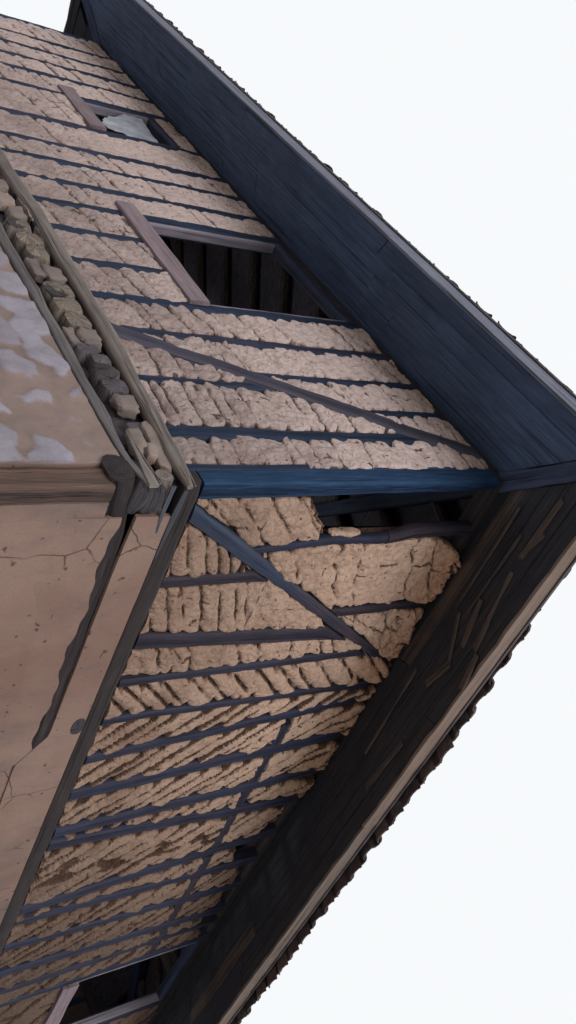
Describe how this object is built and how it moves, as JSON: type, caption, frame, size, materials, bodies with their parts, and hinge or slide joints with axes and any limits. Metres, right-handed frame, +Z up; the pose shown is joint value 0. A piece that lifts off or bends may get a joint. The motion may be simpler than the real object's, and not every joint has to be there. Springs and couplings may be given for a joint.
{
  "type": "two-storey timber-framed adobe house with hipped tile roof",
  "caption": "Weathered two-storey adobe house: stone and mud ground walls, timber frame with mud-brick infill above, hipped clay-tile roof on wide eaves",
  "frame": {"origin": "middle of the plan, on the ground under the walls (bottom centre of the bounding box)", "axes": "+X along the front wall to the right, +Y from the front wall to the back wall, +Z up"},
  "size_m": [10.92, 9.41, 8.407],
  "materials": {
    "stone": "rough stones in mud mortar",
    "mud_plaster": "weathered mud plaster",
    "adobe": "sun-dried mud bricks",
    "brown_timber": "weathered",
    "grey_timber": "weathered grey",
    "boards": "weathered sawn",
    "clay_tile": "unglazed"
  },
  "bodies": {
    "root": {"left_stone_wall": "stone", "right_stone_wall": "stone", "front_mud_wall": "mud_plaster", "back_mud_wall": "mud_plaster", "ground_corner_posts": "brown_timber", "door_frame": "brown_timber", "front_wall_plates": "brown_timber", "side_wall_plates": "brown_timber", "floor_joists": "brown_timber", "joist_packing": "mud_plaster", "plaster_bands": "mud_plaster", "floor_beam": "brown_timber", "beam_posts": "brown_timber", "front_sole_plates": "grey_timber", "side_sole_plates": "brown_timber", "floor_deck": "boards", "corner_posts": "grey_timber", "left_studs": "brown_timber", "right_studs": "brown_timber", "front_studs": "grey_timber", "back_studs": "grey_timber", "side_braces": "brown_timber", "front_braces": "grey_timber", "front_rails": "brown_timber", "left_infill": "adobe", "right_infill": "adobe", "front_infill": "adobe", "back_infill": "adobe", "window_rails": "brown_timber", "window_linings": "boards", "window_sills": "boards", "front_top_plates": "brown_timber", "side_top_plates": "brown_timber", "tie_beams": "brown_timber", "ridge_posts": "brown_timber", "ridge_beam": "brown_timber", "hip_rafters": "brown_timber", "front_rafters": "brown_timber", "side_rafters": "brown_timber", "eave_boards": "boards", "soffit_boards": "boards", "roof_boards": "boards", "roof_tiles": "clay_tile", "ridge_tiles": "clay_tile"}
  },
  "joints": []
}
